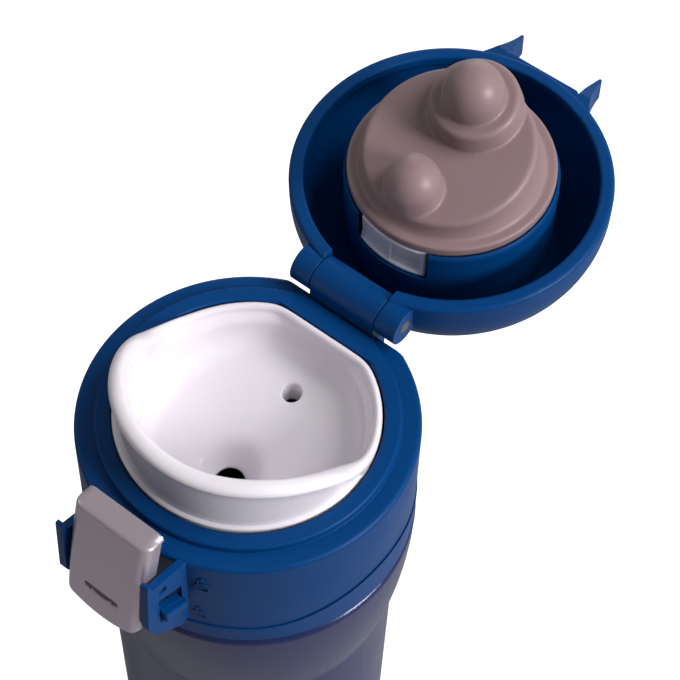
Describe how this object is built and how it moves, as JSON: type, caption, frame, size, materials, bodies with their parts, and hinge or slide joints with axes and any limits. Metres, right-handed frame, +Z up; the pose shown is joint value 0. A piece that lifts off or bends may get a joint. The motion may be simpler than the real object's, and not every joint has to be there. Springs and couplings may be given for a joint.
{
  "type": "flip-top vacuum mug",
  "caption": "Slim vacuum mug with a one-touch flip-up lid, screw-on collar, raised drinking bowl, soft lid gasket, push latch and slide lock.",
  "frame": {"origin": "centre of the flat underside of the base", "axes": "+Z up the mug's axis, latch and button towards -Y, lid hinge towards +Y, lock slider on the +X side"},
  "size_m": [0.0672, 0.1479, 0.26],
  "materials": {
    "painted_steel": "satin dark blue lacquer",
    "bare_steel": "brushed",
    "blue_plastic": "satin",
    "white_plastic": "glossy",
    "lever_plastic": "satin grey white",
    "silver_trim": "satin silver",
    "silicone": "matt taupe silicone",
    "pin_steel": "turned",
    "dark_plastic": "matt",
    "base_rubber": "matt"
  },
  "bodies": {
    "flask": {"outer_shell": "painted_steel", "inner_liner": "bare_steel", "vacuum_end_plate": "bare_steel", "getter_disc": "bare_steel", "vacuum_port_seal": "pin_steel", "base_cap": "base_rubber"},
    "lift": {"neck_seal": "silicone"},
    "closure": {"collar_housing": "blue_plastic", "collar_band": "blue_plastic", "mouthpiece": "white_plastic", "mouthpiece_seal": "silicone", "hinge_pin": "pin_steel", "latch_pin": "pin_steel", "hinge_spring": "pin_steel", "latch_spring": "pin_steel"},
    "lid": {"lid_shell": "blue_plastic", "gasket_boss": "blue_plastic", "gasket_carrier": "lever_plastic", "lid_gasket": "silicone"},
    "release": {"gasket_release_lever": "lever_plastic"},
    "latch": {"latch_lever": "dark_plastic", "latch_button": "silver_trim"},
    "lock": {"lock_slider": "blue_plastic"}
  },
  "joints": [
    {"name": "closure_lift", "type": "slide", "parent": "flask", "child": "lift", "axis": [0, 0, 1], "range_m": [0, 0.0061]},
    {"name": "closure_turn", "type": "hinge", "parent": "lift", "child": "closure", "pos_m": [0, 0, 0.2], "axis": [0, 0, 1], "range_deg": [0, 540]},
    {"name": "lid_hinge", "type": "hinge", "parent": "closure", "child": "lid", "pos_m": [0, 0.03227, 0.22665], "axis": [1, 0, 0], "range_deg": [0, 175.8], "stiffness_Nm_per_rad": 0.012, "deforming": ["lid_gasket"]},
    {"name": "latch_press", "type": "hinge", "parent": "closure", "child": "latch", "pos_m": [0, -0.0374, 0.2205], "axis": [1, 0, 0], "range_deg": [0, 12], "stiffness_Nm_per_rad": 0.06, "deforming": ["latch_spring"]},
    {"name": "lock_slide", "type": "slide", "parent": "closure", "child": "lock", "axis": [0, 0, 1], "range_m": [0, 0.0035]},
    {"name": "gasket_release", "type": "slide", "parent": "lid", "child": "release", "axis": [0, 0.9973, 0.0732], "range_m": [0, 0.0012], "stiffness_N_per_m": 400}
  ],
  "couplings": [
    {"joint": "closure_lift", "follows": "closure_turn", "m_per_rad": 0.00063662}
  ]
}
